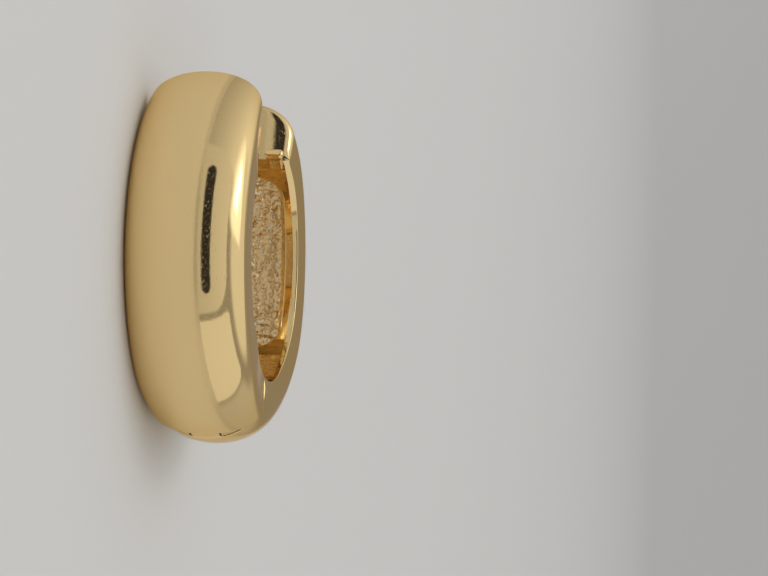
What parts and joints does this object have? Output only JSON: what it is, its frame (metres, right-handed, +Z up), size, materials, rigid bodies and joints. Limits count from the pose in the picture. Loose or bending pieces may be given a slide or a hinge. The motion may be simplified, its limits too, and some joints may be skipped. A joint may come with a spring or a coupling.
{
  "type": "hoop earring",
  "caption": "Wide domed hoop earring, hinged below and closed above by a curved post that snaps into a slotted catch.",
  "frame": {"origin": "under the middle of the hoop, on the surface that it lies on", "axes": "+Z up along the axis of the ring, -Y towards the middle of the front half, -X towards the clasp, +X towards the hinge"},
  "size_m": [0.0148, 0.015, 0.0047],
  "materials": {
    "polished_gold": "gold plate, mirror polished outside, rough as cast in the hollows",
    "gold_wire": "gold plated drawn wire, lightly brushed"
  },
  "bodies": {
    "front": {"front_half": "polished_gold", "ear_post": "gold_wire", "hinge_pin": "gold_wire"},
    "back": {"back_half": "polished_gold"}
  },
  "joints": [
    {"name": "hoop_hinge", "type": "hinge", "parent": "front", "child": "back", "pos_m": [0.00676, 0, 0.00235], "axis": [0, 0, -1], "range_deg": [0, 50]}
  ]
}
